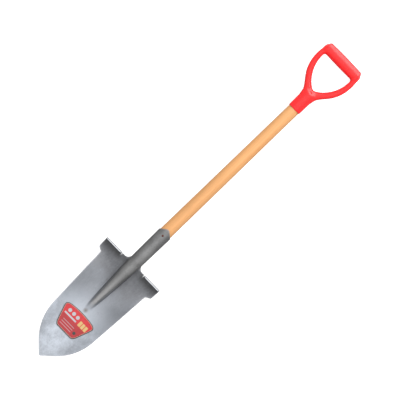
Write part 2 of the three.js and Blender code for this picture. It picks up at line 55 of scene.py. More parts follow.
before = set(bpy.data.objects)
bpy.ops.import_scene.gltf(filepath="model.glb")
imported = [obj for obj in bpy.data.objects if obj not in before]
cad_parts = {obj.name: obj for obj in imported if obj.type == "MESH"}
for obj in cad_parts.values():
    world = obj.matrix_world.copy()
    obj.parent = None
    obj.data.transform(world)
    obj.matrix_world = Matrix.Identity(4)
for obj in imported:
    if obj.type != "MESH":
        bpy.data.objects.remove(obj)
CAD_BOX = [[float(value) for value in corner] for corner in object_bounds()]
MM = 0.001
SLACK = 0.04
BODY = "root"

# Shapes are worked out in millimetres, with x measured from the blade's point and y and z from the
# shaft's axis. in_frame() puts them where the frame has the shovel, in metres.


def lerp(a, b, share):
    return a + (b - a) * share


def smoothstep(x, low, high):
    share = np.clip((x - low) / (high - low), 0, 1)
    return share * share * (3 - 2 * share)


def smooth_min(a, b, reach):
    share = np.clip(0.5 + 0.5 * (b - a) / reach, 0, 1)
    return lerp(b, a, share) - reach * share * (1 - share)


def smooth_max(a, b, reach):
    return -smooth_min(-a, -b, reach)


def linear(red, green, blue):
    """A display colour, 0 to 255, as a scene linear colour."""
    shares = [value / 255 for value in (red, green, blue)]
    return tuple(s / 12.92 if s <= 0.04045 else ((s + 0.055) / 1.055) ** 2.4 for s in shares)


# Sizes and colours a user can change


def length_prop(name, description, default):
    return FloatProperty(
        name=name, description=description, default=default, min=0, unit="LENGTH", precision=4
    )


def colour_prop(name, description, default):
    return FloatVectorProperty(
        name=name, description=description, default=default, size=3, min=0, max=1, subtype="COLOR"
    )


class ShovelBladeSizes(bpy.types.PropertyGroup):
    length: length_prop("Blade length", "From the point to the tread line", 0.310)
    width: length_prop("Blade width", "Across the blade just below the ears", 0.1536)
    ear_span: length_prop("Ear span", "Across both ears", 0.181)
    tread_depth: length_prop("Tread depth", "Height of the turned treads", 0.022)
    sheet: length_prop("Sheet", "Thickness of the steel", 0.0018)
    dish: length_prop("Dish", "Rise of the blade's sides over its centre line", 0.021)
    frog_length: length_prop("Frog length", "Length of the raised ridge below the tread line", 0.161)
    socket_length: length_prop("Socket length", "From the tread line to the end of the tongue", 0.117)


class ShovelHandleSizes(bpy.types.PropertyGroup):
    bare_shaft: length_prop("Bare shaft", "Wood that shows between the socket and the grip", 0.416)
    neck: length_prop("Shaft at the neck", "Shaft's diameter at the tread line", 0.0304)
    mouth: length_prop("Shaft at the socket", "Shaft's diameter where it leaves the socket", 0.0331)
    upper: length_prop("Shaft at the grip", "Shaft's diameter where it meets the grip", 0.031)
    grip_length: length_prop("Grip length", "From the mouth of the grip to the far side of its bar", 0.177)
    grip_width: length_prop("Grip width", "Across the two arms", 0.118)
    opening_width: length_prop("Opening width", "Across the hand opening", 0.0904)
    bar: length_prop("Bar", "Diameter of the bar in the middle", 0.031)


class ShovelColours(bpy.types.PropertyGroup):
    # Painted light and shade: the two steel colours are the ends of a gradient painted along the blade, lit
    # at the point and shaded towards the treads.
    steel_with_painted_light: colour_prop("Bright steel", "Steel near the point", linear(179, 185, 194))
    steel_with_painted_shade: colour_prop("Dark steel", "Steel near the treads", linear(100, 101, 104))
    wood: colour_prop("Wood", "Main tone of the shaft", linear(221, 163, 105))
    dark_wood: colour_prop("Dark wood", "Late wood in the grain", linear(216, 147, 86))
    grip: colour_prop("Grip", "Moulded plastic", linear(254, 42, 44))
    label: colour_prop("Label", "Main colour of the label", linear(186, 26, 35))


class Sizes:
    """Every size of the shovel, in millimetres, from the scene's settings."""

    def __init__(self, scene):
        for group in (scene.shovel_blade, scene.shovel_handle):
            for name in group.__annotations__:
                setattr(self, name, getattr(group, name) / MM)
        self.tongue_end = self.length + self.socket_length
        self.grip_mouth = self.tongue_end + self.bare_shaft
        self.total = self.grip_mouth + self.grip_length
        self.ear_start = self.length - EAR_HEIGHT


FIT = 0.3
SIDE_TAPER = math.radians(3.2)
NOSE_ANGLE = math.radians(46.5)
SHOULDER_RADIUS = 130
TIP_RADIUS = 3.5
HEEL_DROP = 19.5
HEEL_BACK = 15
LIFT_SLOPE = 0.26
LIFT_RUN = 60
DISH_RUN = 110
EAR_HEIGHT = 27
EAR_SHOULDER = 9
TREAD_GAP = 76
TREAD_BEND = 7
TREAD_LEAN = 8
TREAD_INNER_CORNER = 9
TREAD_OUTER_CORNER = 5
RELIEF = 1.8
FROG_END_WIDTH = 19
FROG_END_ROUNDING = 16
FROG_END_BLUNTNESS = 1.15
FROG_WIDEST_SHARE = 0.3
FROG_FOOT_RADIUS = 3
FROG_CREST = 0.5
FROG_FADE = 6
NECK_LENGTH = 34
NECK_WAIST = 0.22
HEM_LENGTH = 0.33
HEM_REACH = 0.5
SEAM_GAP = 7
TONGUE_LENGTH = 12.3
TONGUE_SLOPE = 0.92
TONGUE_ROUND = 4.4
SHAFT_END_DIAMETER = 17
SHAFT_END_DEPTH = 62
SPIGOT_DIAMETER = 28
SPIGOT_LENGTH = 48
GRIP_MOUTH_DIAMETER = 34.2
GRIP_SOCKET_DIAMETER = 35.2
GRIP_SOCKET_LENGTH = 44
GRIP_THROAT = 65
BAR_END_DIAMETER = 28.6
BAR_LENGTH = 112
ARM_THICKNESS = 23
NAIL_DIAMETER = 2.6
NAIL_HEAD_DIAMETER = 5.2
NAIL_HEAD_HEIGHT = 1.3
NAIL_LENGTH = 14
FRONT_NAIL_BACK = 19.5
REAR_NAIL_BACK = 28
REAR_NAIL_ANGLE = 31
LABEL_FROM_POINT = 79
LABEL_LENGTH = 58.5
LABEL_TOP_WIDTH = 97
LABEL_FOOT_WIDTH = 60
LABEL_ARCH = 4
LABEL_THICKNESS = 0.3
LABEL_GAP = 0.55


def in_frame(points, sizes):
    """Points in millimetres from the blade's point and the shaft's axis, as metres in the frame."""
    end_of_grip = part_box("d_grip")[1][0]
    shaft_low, shaft_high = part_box("shaft")
    origin = np.array([end_of_grip - sizes.total * MM, 0, (shaft_low[2] + shaft_high[2]) / 2])
    return np.asarray(points) * MM + origin


# Meshes


def new_piece(name, points, faces, sizes, stands_for, material):
    """A smooth mesh that rides on the shovel and stands for one of the frame's nodes."""
    mesh = bpy.data.meshes.new(name)
    mesh.from_pydata(in_frame(points, sizes).tolist(), [], faces)
    mesh.validate()
    mesh.shade_smooth()
    piece = bpy.data.objects.new(name, mesh)
    bpy.context.scene.collection.objects.link(piece)
    mesh.materials.append(material)
    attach(piece, BODY)
    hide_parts(stands_for)
    return piece


def grid_faces(rows, columns, start=0, closed=False):
    """Four-sided faces over a grid of points, whose columns may close on themselves."""
    faces = []
    for i in range(rows - 1):
        for j in range(columns if closed else columns - 1):
            k = (j + 1) % columns
            low, high = start + i * columns, start + (i + 1) * columns
            faces.append((low + j, high + j, high + k, low + k))
    return faces


def turned(profile, around=64):
    """Points and faces of a solid turned about x, from [x, radius] pairs that start and end on the axis."""
    turns = np.linspace(0, 2 * math.pi, around, endpoint=False)
    ring = np.stack([np.zeros(around), np.cos(turns), np.sin(turns)], axis=-1)
    inner = profile[1:-1]
    points = [np.array([x, 0, 0]) + ring * radius for x, radius in inner]
    points = np.concatenate(points + [[[profile[0][0], 0, 0], [profile[-1][0], 0, 0]]])
    count = len(inner) * around
    faces = [face[::-1] for face in grid_faces(len(inner), around, closed=True)]
    for j in range(around):
        k = (j + 1) % around
        faces.append((j, count, k))
        faces.append((count - around + k, count + 1, count - around + j))
    return points, [tuple(face[::-1]) for face in faces]


def rounded(profile, radius, steps=4):
    """The profile with each corner between its ends replaced by a small curve."""
    profile = [np.array(point, float) for point in profile]
    out = [profile[0]]
    for before, corner, after in zip(profile, profile[1:], profile[2:]):
        reach = min(radius, np.linalg.norm(before - corner) / 2, np.linalg.norm(after - corner) / 2)
        start = corner + (before - corner) / max(np.linalg.norm(before - corner), 1e-9) * reach
        end = corner + (after - corner) / max(np.linalg.norm(after - corner), 1e-9) * reach
        for share in np.linspace(0, 1, steps + 1):
            out.append(lerp(lerp(start, corner, share), lerp(corner, end, share), share))
    return out + [profile[-1]]


def add_attribute(piece, name, values):
    attribute = piece.data.attributes.new(name, "FLOAT", "POINT")
    attribute.data.foreach_set("value", np.asarray(values, np.float32))


def rim_nearness(piece, fade):
    """1 on the open rim of a sheet, falling to 0 at fade metres from it."""
    mesh = piece.data
    uses = {}
    for polygon in mesh.polygons:
        for key in polygon.edge_keys:
            uses[key] = uses.get(key, 0) + 1
    rim = sorted({vertex for key, count in uses.items() if count == 1 for vertex in key})
    tree = KDTree(len(rim))
    for i, vertex in enumerate(rim):
        tree.insert(mesh.vertices[vertex].co, i)
    tree.balance()
    return [max(0, 1 - tree.find(vertex.co)[2] / fade) for vertex in mesh.vertices]


def weld(patches):
    """One mesh from patches of points and faces that meet at equal points."""
    points, faces, start = [], [], 0
    for patch_points, patch_faces in patches:
        points.append(patch_points)
        faces += [[corner + start for corner in face] for face in patch_faces]
        start += len(patch_points)
    keys = np.round(np.concatenate(points), 3) + 0.0
    _, first, index = np.unique(keys, axis=0, return_index=True, return_inverse=True)
    index = index.reshape(-1)
    welded = []
    for face in faces:
        corners = list(dict.fromkeys(int(index[corner]) for corner in face))
        if len(corners) > 2:
            welded.append(corners)
    return np.concatenate(points)[first], welded


def patch(point_at, rows, columns):
    across, along = np.meshgrid(columns, rows)
    points = np.stack(point_at(along, across), axis=-1).reshape(-1, 3)
    return points, grid_faces(len(rows), len(columns))


# Blade, frog and socket: the middle surface of one pressed sheet


def shaft_radius(sizes, x):
    along = np.clip((x - sizes.length) / sizes.socket_length, 0, 1)
    return lerp(sizes.neck, sizes.mouth, along) / 2


def socket_radius(sizes, x):
    return shaft_radius(sizes, x) + FIT + sizes.sheet / 2


def side_half_width(sizes, x):
    """Half the blade's width without its ears at x."""
    nose, side = math.tan(NOSE_ANGLE), math.tan(SIDE_TAPER)
    apex = TIP_RADIUS - TIP_RADIUS / math.sin(NOSE_ANGLE)
    at_point = sizes.width / 2 - sizes.ear_start * side
    crossing = (at_point + apex * nose) / (nose - side)
    tangent = SHOULDER_RADIUS * math.tan((NOSE_ANGLE - SIDE_TAPER) / 2)
    arc_end = crossing + tangent * math.cos(SIDE_TAPER)
    centre = arc_end + SHOULDER_RADIUS * math.sin(SIDE_TAPER)
    rise = at_point + arc_end * side - SHOULDER_RADIUS * math.cos(SIDE_TAPER)
    tip = np.sqrt(np.maximum(x * (2 * TIP_RADIUS - x), 0))
    arc = rise + np.sqrt(np.maximum(SHOULDER_RADIUS**2 - (x - centre) ** 2, 0))
    tests = [
        x < TIP_RADIUS * (1 - math.sin(NOSE_ANGLE)),
        x < crossing - tangent * math.cos(NOSE_ANGLE),
        x < arc_end,
    ]
    return np.select(tests, [tip, (x - apex) * nose, arc], at_point + x * side)


def half_width(sizes, x):
    ear = sizes.ear_span / 2 - (sizes.length - x) * math.tan(SIDE_TAPER)
    out = smoothstep(x, sizes.ear_start - EAR_SHOULDER, sizes.ear_start)
    return lerp(side_half_width(sizes, x), ear, out)


def plate_height(u):
    """Height of the blade's centre line over the shaft's axis, u back from the tread line."""
    return -HEEL_DROP + LIFT_SLOPE * (np.hypot(u - HEEL_BACK, LIFT_RUN) - LIFT_RUN)


def dish_rise(sizes, u, y):
    return sizes.dish * (y / (sizes.width / 2)) ** 2 * smoothstep(u, TREAD_BEND, DISH_RUN)


def frog_height(sizes, u):
    neck = socket_radius(sizes, sizes.length)
    along = np.clip(u / sizes.frog_length, 0, 1)
    crest = lerp(neck, plate_height(sizes.frog_length), along**1.5)
    return (crest - plate_height(u)) * (1 - along**FROG_FADE)


def frog_half_width(sizes, u):
    neck = socket_radius(sizes, sizes.length) + FROG_FOOT_RADIUS
    line = lerp(neck, FROG_END_WIDTH / 2, np.clip(u / sizes.frog_length, 0, 1))
    past = np.clip((u - sizes.frog_length) / FROG_END_ROUNDING + 1, 0, 1.1) / FROG_END_BLUNTNESS
    widest = lerp(1, FROG_WIDEST_SHARE, np.clip(u / sizes.frog_length, 0, 1))
    return np.minimum(line * np.sqrt(1 - past**2), widest * side_half_width(sizes, sizes.length - u))


def section_point(sizes, x, closing, q):
    """y, z and heading on the section of frog and socket, from the crest down one side, in three arcs:
    crown, flank and foot, each one unit of q. closing is 0 where the foot flares out into the blade
    and 1 where the flank and the foot have rolled on round the shaft."""
    radius = socket_radius(sizes, x)
    flank = -plate_height(0) - FROG_FOOT_RADIUS
    foot = FROG_FOOT_RADIUS * math.pi / 2
    quarter = radius * math.pi / 2
    waist = 1 - NECK_WAIST * 4 * closing * (1 - closing)
    grown = lerp(1, (quarter - SEAM_GAP / 2) / (flank + foot), closing) * waist
    arcs = [
        (quarter, 1 / radius),
        (flank * grown, np.maximum(closing, 1e-6) / radius),
        (foot * grown, lerp(-1 / FROG_FOOT_RADIUS, 1 / radius, closing)),
    ]
    y, z, angle = 0, 0, 0
    for i, (length, bend) in enumerate(arcs):
        bend = np.where(np.abs(bend) < 1e-6, 1e-6, bend)
        after = angle + length * np.clip(q - i, 0, 1) * bend
        y = y + (np.sin(after) - np.sin(angle)) / bend
        z = z + (np.cos(after) - np.cos(angle)) / bend
        angle = after
    return y, z, angle


def blade_point(sizes, x, q):
    """q is 0 to 3 over the frog, 3 to 4 over the web beside it and 4 to 5 over the wing."""
    u = sizes.length - x
    across = np.abs(q)
    frog = frog_half_width(sizes, u)
    top_frog = frog_half_width(sizes, TREAD_BEND)
    top_side = side_half_width(sizes, sizes.length - TREAD_BEND)
    share = (TREAD_GAP / 2 - top_frog) / (top_side - top_frog)
    web = lerp(frog, side_half_width(sizes, x), share)
    steep_y, steep_z, _ = section_point(sizes, sizes.length, 0, np.minimum(across, 3))
    foot_y, foot_z, _ = section_point(sizes, sizes.length, 0, 3)
    soft = smoothstep(u, 0, sizes.frog_length)
    on_frog = across < 3
    frog_y = frog * lerp(steep_y / foot_y, across / 3, soft)
    bump = lerp(1 - steep_z / foot_z, 1 - smoothstep(across, FROG_CREST, 3), soft)
    outside = np.where(across > 4, lerp(web, half_width(sizes, x), across - 4), lerp(frog, web, across - 3))
    y = np.where(on_frog, frog_y, outside)
    z = plate_height(u) + dish_rise(sizes, u, y) + np.where(on_frog, frog_height(sizes, u) * bump, 0)
    return x, np.sign(q) * y, z


def web_point(sizes, x, q):
    """The strip between the bend of the treads and the tread line, with a notch beside each tread."""
    _, y, z = blade_point(sizes, x, q)
    past = (x - sizes.length + TREAD_BEND) / TREAD_BEND
    notch = RELIEF * np.sqrt(np.maximum(past, 0)) * np.clip(np.abs(q) - 3, 0, 1)
    return x, y - np.sign(q) * notch, z


def socket_point(sizes, v, q):
    """v is 0 to 1 over the neck and 1 to 2 over the tube above it."""
    neck_end = sizes.length + NECK_LENGTH
    across = socket_radius(sizes, sizes.tongue_end) * np.sin(np.minimum(np.abs(q), 1) * math.pi / 2)
    drop = TONGUE_SLOPE * (np.hypot(across, TONGUE_ROUND) - TONGUE_ROUND)
    top = sizes.tongue_end - np.minimum(drop, TONGUE_LENGTH)
    x = np.where(v < 1, lerp(sizes.length, neck_end, v), lerp(neck_end, top, v - 1))
    y, z, _ = section_point(sizes, x, smoothstep(x, sizes.length, neck_end), np.abs(q))
    return x, np.sign(q) * y, socket_radius(sizes, x) + z


def hem_point(sizes, v, q):
    """The hem along the foot of the neck, where the web's edge sweeps up into it: q is 3 at the foot."""
    x = lerp(sizes.length, sizes.length + NECK_LENGTH, v)
    y, z, heading = section_point(sizes, x, smoothstep(x, sizes.length, sizes.length + NECK_LENGTH), 3)
    _, outer, _ = web_point(sizes, sizes.length, 3 + HEM_REACH)
    _, inner, _ = web_point(sizes, sizes.length, 3)
    left = np.maximum(1 - v / HEM_LENGTH, 0)
    reach = (outer - inner) * (1 - np.sqrt(1 - left**2)) * (np.abs(q) - 3) / HEM_REACH
    side = np.sign(q) * (y + reach * np.cos(heading))
    return x, side, socket_radius(sizes, x) + z - reach * np.sin(heading)


def corner_cut(radius, into):
    return radius - np.sqrt(np.maximum(radius**2 - np.maximum(into, 0) ** 2, 0))


def tread_point(sizes, v, q):
    """v is 0 to 1 round the bend and 1 to 2 up the wall."""
    start = sizes.length - TREAD_BEND
    _, y, z = blade_point(sizes, start + 0 * v, q)
    turn = math.radians(90 + TREAD_LEAN) * np.minimum(v, 1)
    cut = corner_cut(TREAD_INNER_CORNER, TREAD_GAP / 2 + TREAD_INNER_CORNER - np.abs(y))
    cut = cut + corner_cut(TREAD_OUTER_CORNER, np.abs(y) - half_width(sizes, start) + TREAD_OUTER_CORNER)
    wall = (sizes.tread_depth - TREAD_BEND - cut) * np.maximum(v - 1, 0)
    x = start + TREAD_BEND * np.sin(turn) + wall * np.cos(turn)
    return x, y, z + TREAD_BEND * (1 - np.cos(turn)) + wall * np.sin(turn)


def mirrored(half):
    return np.concatenate([-half[:0:-1], half])


def joined(*ranges):
    """Ranges of (from, to, steps) in a row, each starting where the last one ended."""
    parts = [np.linspace(low, high, steps + 1)[1:] for low, high, steps in ranges]
    return np.concatenate([[ranges[0][0]], *parts])


def head_patches(sizes):
    frog = joined((0, 1, 14), (1, 2, 10), (2, 3, 10))
    web = joined((3, 4, 10))
    hem = joined((3, 3 + HEM_REACH, 5))
    wing = joined((4, 4.2, 9), (4.2, 4.9, 16), (4.9, 5, 5))
    start = sizes.length - TREAD_BEND
    shoulder = sizes.ear_start - EAR_SHOULDER
    nose = TIP_RADIUS * np.linspace(0, 1, 7) ** 2
    rows = np.concatenate([nose, joined((TIP_RADIUS, 40, 20), (40, shoulder, 96), (shoulder, start, 24))[1:]])
    hem_rows = joined((0, HEM_LENGTH, 12))
    neck_rows = joined((0, HEM_LENGTH, 12), (HEM_LENGTH, 1, 14), (1, 2, 34))
    tread_rows = joined((0, 1, 10), (1, 2, 8))

    def on(point):
        return lambda along, across: point(sizes, along, across)

    return [
        patch(on(blade_point), rows, mirrored(np.concatenate([frog, web[1:], wing[1:]]))),
        patch(on(web_point), joined((start, sizes.length, 6)), mirrored(np.concatenate([frog, web[1:]]))),
        patch(on(socket_point), neck_rows, mirrored(frog)),
        patch(on(hem_point), hem_rows, hem),
        patch(on(hem_point), hem_rows, -hem[::-1]),
        patch(on(tread_point), tread_rows, wing),
        patch(on(tread_point), tread_rows, -wing[::-1]),
    ]


# Grip: the zero surface of a field that is negative inside the plastic


def bezier(start, control, end, steps=24):
    share = np.linspace(0, 1, steps)[:, None]
    start, control, end = (np.array(point, float) for point in (start, control, end))
    return lerp(lerp(start, control, share), lerp(control, end, share), share)


def grip_outlines(sizes):
    """The outer side of one arm and the same side of the hand opening, from the socket to the bar."""
    outer, inner = sizes.grip_width / 2, sizes.opening_width / 2
    socket = GRIP_SOCKET_DIAMETER / 2 - 0.3
    bar_face = sizes.grip_length - sizes.bar
    lean = (GRIP_THROAT + 7, 0.612 * outer)
    lean_in = (GRIP_THROAT + 12, 0.417 * inner)
    outside = [
        bezier((-20, socket), (10, socket), (GRIP_SOCKET_LENGTH - 2, socket)),
        bezier((GRIP_SOCKET_LENGTH - 2, socket), (GRIP_SOCKET_LENGTH + 5.6, socket), lean),
        bezier(lean, (GRIP_THROAT + 33.5, outer), (bar_face - 10, outer)),
        bezier((bar_face - 10, outer), (bar_face + 5, outer), (bar_face + 19, outer - 4)),
        bezier((bar_face + 19, outer - 4), (bar_face + 25, outer - 5.6), (bar_face + 33, outer - 8.3)),
    ]
    inside = [
        bezier((GRIP_THROAT, 0), (GRIP_THROAT, 0.13 * inner), lean_in),
        bezier(lean_in, (GRIP_THROAT + 37, inner - 1.8), (bar_face - 10, inner)),
        bezier((bar_face - 10, inner), (bar_face + 10, inner), (bar_face + 33, inner)),
    ]
    return np.concatenate(outside), np.concatenate(inside)


def signed_to_curve(x, y, curve, inside_sign):
    """Distance from points to a curve that runs along x, signed by whether they lie beyond it in y."""
    flat = np.stack([x, y], axis=-1).reshape(-1, 2)
    best = np.full(len(flat), np.inf)
    for a, b in zip(curve, curve[1:]):
        way = b - a
        share = np.clip((flat - a) @ way / max(way @ way, 1e-9), 0, 1)
        best = np.minimum(best, np.linalg.norm(flat - a - share[:, None] * way, axis=1))
    edge = np.interp(flat[:, 0], curve[:, 0], curve[:, 1], left=-1 if inside_sign < 0 else None)
    sign = np.where(flat[:, 1] > edge, 1, -1) * inside_sign
    return (best * sign).reshape(x.shape)


# How far the grip's socket runs on into the arms, so that plastic stays all round the shaft's end
SOCKET_RUN_ON = 12


class GripField:
    """Distance-like field of the grip, in millimetres from its mouth and the shaft's axis."""

    def __init__(self, sizes, step=0.5):
        self.sizes = sizes
        self.step = step
        outside, inside = grip_outlines(sizes)
        self.x = np.arange(-6, sizes.grip_length + 6, step)
        self.y = np.arange(0, sizes.grip_width / 2 + 6, step)
        x, y = np.meshgrid(self.x, self.y, indexing="ij")
        self.outer = signed_to_curve(x, y, outside, 1)
        self.inner = signed_to_curve(x, y, inside, -1)

    def sample(self, table, x, y):
        """The table of one plan distance, read between its points."""
        across = np.clip((np.abs(y) - self.y[0]) / self.step, 0, len(self.y) - 1.001)
        along = np.clip((x - self.x[0]) / self.step, 0, len(self.x) - 1.001)
        i, j = along.astype(int), across.astype(int)
        s, t = along - i, across - j
        low = lerp(table[i, j], table[i + 1, j], s)
        high = lerp(table[i, j + 1], table[i + 1, j + 1], s)
        return lerp(low, high, t)

    def __call__(self, x, y, z):
        sizes = self.sizes
        bar_x = sizes.grip_length - sizes.bar / 2
        outer, inner = self.sample(self.outer, x, y), self.sample(self.inner, x, y)
        middle, half = (outer - inner) / 2, np.maximum(-(outer + inner) / 2, 3)
        thick = ARM_THICKNESS / 2
        ratio = (np.abs(middle / half) ** 2.3 + np.abs(z / thick) ** 2.3) ** (1 / 2.3)
        arms = (ratio - 1) * np.minimum(half, thick)
        arms = smooth_max(arms, x - bar_x - 3, 4)
        arms = smooth_max(arms, GRIP_SOCKET_LENGTH - 4 - x, 6)
        grown = np.clip(x / GRIP_SOCKET_LENGTH, 0, 1)
        tube = np.hypot(y, z) - lerp(GRIP_MOUTH_DIAMETER, GRIP_SOCKET_DIAMETER, grown) / 2
        tube = smooth_max(tube, x - GRIP_SOCKET_LENGTH - SOCKET_RUN_ON, 8)
        from_bar = np.hypot(x - bar_x, z)
        slim = np.clip((np.abs(y) / (BAR_LENGTH / 2)) ** 2, 0, 1)
        bar = from_bar - lerp(sizes.bar, BAR_END_DIAMETER, slim) / 2
        bar = smooth_max(bar, np.abs(y) + 0.028 * from_bar**2 - BAR_LENGTH / 2, 2.5)
        body = smooth_min(smooth_min(tube, arms, 6), bar, 7)
        body = smooth_max(body, -x, 1.6)
        bore = np.hypot(y, z) - SPIGOT_DIAMETER / 2 - FIT
        bore = np.maximum(bore, x - SPIGOT_LENGTH - FIT)
        return smooth_max(body, -bore, 1.0)

    def slope(self, points, reach=0.05):
        steps = np.eye(3) * reach
        ends = [self(*(points + s).T) - self(*(points - s).T) for s in steps]
        return np.stack(ends, axis=-1) / (2 * reach)

    def settle(self, points, rounds=4):
        """Moves points onto the zero surface."""
        for _ in range(rounds):
            slope = self.slope(points)
            value = self(*points.T)
            length = np.maximum((slope**2).sum(axis=1), 0.05)
            points = points - np.clip(value / length, -1, 1)[:, None] * slope
        return points


def surface_net(field, low, high, step):
    """Points and four-sided faces that wrap the cells of a grid where the field changes sign."""
    axes = [np.arange(a, b + step, step) for a, b in zip(low, high)]
    x, y, z = np.meshgrid(*axes, indexing="ij")
    inside = field(x, y, z) < 0
    shape = [n - 1 for n in inside.shape]
    corners = sum(
        inside[i : i + shape[0], j : j + shape[1], k : k + shape[2]].astype(int)
        for i in (0, 1)
        for j in (0, 1)
        for k in (0, 1)
    )
    mixed = (corners > 0) & (corners < 8)
    index = np.full(shape, -1)
    index[mixed] = np.arange(mixed.sum())
    cells = np.argwhere(mixed)
    points = np.stack([axes[a][cells[:, a]] + step / 2 for a in range(3)], axis=-1)
    faces = []
    for axis in range(3):
        b, c = (axis + 1) % 3, (axis + 2) % 3
        flow = np.moveaxis(inside, [axis, b, c], [0, 1, 2])
        cell = np.moveaxis(index, [axis, b, c], [0, 1, 2])
        change = flow[1:, 1:-1, 1:-1] != flow[:-1, 1:-1, 1:-1]
        leaving = flow[:-1, 1:-1, 1:-1][change]
        i, j, k = np.argwhere(change).T
        ring = np.stack([cell[i, j, k], cell[i, j + 1, k], cell[i, j + 1, k + 1], cell[i, j, k + 1]], axis=-1)
        faces.append(np.where(leaving[:, None], ring, ring[:, ::-1]))
    return points, np.concatenate(faces)


def relaxed(field, points, faces, rounds):
    """Evens out the points over the zero surface."""
    ends = np.concatenate([faces[:, [a, (a + 1) % 4]] for a in range(4)])
    ends = np.concatenate([ends, ends[:, ::-1]])
    count = np.bincount(ends[:, 0], minlength=len(points))[:, None]
    for _ in range(rounds):
        total = np.zeros_like(points)
        np.add.at(total, ends[:, 0], points[ends[:, 1]])
        points = field.settle(total / count, 2)
    return points


# Shader nodes


class Tree:
    """Adds nodes to a shader tree, with each node's inputs given as values or as other sockets."""

    def __init__(self, tree):
        self.tree = tree

    def add(self, kind, inputs=None, **settings):
        node = self.tree.nodes.new(kind)
        node.location = (200 * (len(self.tree.nodes) % 12), -260 * (len(self.tree.nodes) // 12))
        for name, value in settings.items():
            setattr(node, name, value)
        for name, value in (inputs or {}).items():
            if isinstance(value, bpy.types.NodeSocket):
                self.tree.links.new(value, node.inputs[name])
            else:
                node.inputs[name].default_value = value
        return node

    def math(self, operation, a, b=0.0, clamp=False):
        return self.add("ShaderNodeMath", {0: a, 1: b}, operation=operation, use_clamp=clamp).outputs[0]

    def mix(self, share, a, b, blend="MIX"):
        inputs = {"Factor": share, 6: a, 7: b}
        return self.add("ShaderNodeMix", inputs, data_type="RGBA", blend_type=blend).outputs[2]

    def ramp(self, value, stops):
        node = self.add("ShaderNodeValToRGB", {"Fac": value})
        elements = node.color_ramp.elements
        while len(elements) < len(stops):
            elements.new(0.5)
        for element, (at, colour) in zip(elements, stops):
            element.position = at
            element.color = colour if len(colour) == 4 else (*colour, 1)
        return node.outputs["Color"]

    def band(self, value, low, high, soft=0.004):
        """1 where the value lies between two limits."""
        up = self.remap(value, (low - soft, low + soft))
        down = self.remap(value, (high + soft, high - soft))
        return self.math("MULTIPLY", up, down)

    def remap(self, value, start=(0.0, 1.0), end=(0.0, 1.0)):
        """The value moved from one range to another and held within it."""
        inputs = {"Value": value, "From Min": start[0], "From Max": start[1]}
        return self.add("ShaderNodeMapRange", {**inputs, "To Min": end[0], "To Max": end[1]}).outputs[0]

    def noise(self, source, scale=1.0, detail=3.0, roughness=0.5):
        inputs = {"Vector": source, "Scale": scale, "Detail": detail, "Roughness": roughness}
        return self.add("ShaderNodeTexNoise", inputs).outputs["Fac"]

    def coordinate(self, axis):
        """One of the object's own coordinates."""
        source = self.add("ShaderNodeTexCoord").outputs["Object"]
        return self.add("ShaderNodeSeparateXYZ", {0: source}).outputs[axis]

    def place(self, stretch=(1, 1, 1)):
        """The object's own coordinates, stretched."""
        source = self.add("ShaderNodeTexCoord").outputs["Object"]
        mapping = self.add("ShaderNodeMapping", {"Vector": source, "Scale": stretch})
        return mapping.outputs["Vector"]


def grey(value):
    return (value, value, value, 1)


def effect_group(name, inputs, outputs, build):
    """A shader node group with named inputs and outputs, built once."""
    if name in bpy.data.node_groups:
        return bpy.data.node_groups[name]
    group = bpy.data.node_groups.new(name, "ShaderNodeTree")
    for label, default in inputs.items():
        kind = "NodeSocketVector" if isinstance(default, tuple) else "NodeSocketFloat"
        socket = group.interface.new_socket(name=label, in_out="INPUT", socket_type=kind)
        socket.default_value = default
    for label in outputs:
        group.interface.new_socket(name=label, in_out="OUTPUT", socket_type="NodeSocketFloat")
    tree = Tree(group)
    start = tree.add("NodeGroupInput")
    end = tree.add("NodeGroupOutput")
    for label, socket in build(tree, start.outputs).items():
        group.links.new(socket, end.inputs[label])
    return group


def mottling_group():
    """Soft uneven patches with a finer grain over them."""

    def build(tree, given):
        source = tree.add("ShaderNodeTexCoord").outputs["Object"]
        large = tree.noise(source, given["Scale"], 5.0, 0.62)
        small_scale = tree.math("MULTIPLY", given["Scale"], 9.0)
        small = tree.noise(source, small_scale)
        spread = tree.math("MULTIPLY", tree.math("SUBTRACT", large, 0.5), given["Patches"])
        grain = tree.math("MULTIPLY", tree.math("SUBTRACT", small, 0.5), given["Grain"])
        mask = tree.math("ADD", tree.math("ADD", spread, grain), 0.5, clamp=True)
        return {"Mask": mask}

    return effect_group("Mottling", {"Scale": 20.0, "Patches": 1.0, "Grain": 0.4}, ["Mask"], build)


def scratches_group():
    """Fine lines drawn out along one direction."""

    def build(tree, given):
        source = tree.add("ShaderNodeTexCoord").outputs["Object"]
        stretched = {0: source, 1: given["Stretch"]}
        drawn = tree.add("ShaderNodeVectorMath", stretched, operation="MULTIPLY").outputs[0]
        lines = tree.noise(drawn, 1.0, 4.0, 0.7)
        return {"Mask": tree.remap(lines, (0.42, 0.7))}

    return effect_group("Scratches", {"Stretch": (30.0, 900.0, 300.0)}, ["Mask"], build)


def new_material(name, build, **shader):
    """A material whose shader takes plain values from shader and varying ones from build."""
    material = bpy.data.materials.new(name)
    material.use_nodes = True
    material.node_tree.nodes.clear()
    tree = Tree(material.node_tree)
    output = tree.add("ShaderNodeOutputMaterial")
    principled = tree.add("ShaderNodeBsdfPrincipled", shader)
    for socket, value in build(tree).items():
        material.node_tree.links.new(value, principled.inputs[socket])
    material.node_tree.links.new(principled.outputs["BSDF"], output.inputs["Surface"])
    return material


def use_group(tree, group, **inputs):
    node = tree.add("ShaderNodeGroup", node_tree=group)
    for name, value in inputs.items():
        node.inputs[name].default_value = value
    return node.outputs


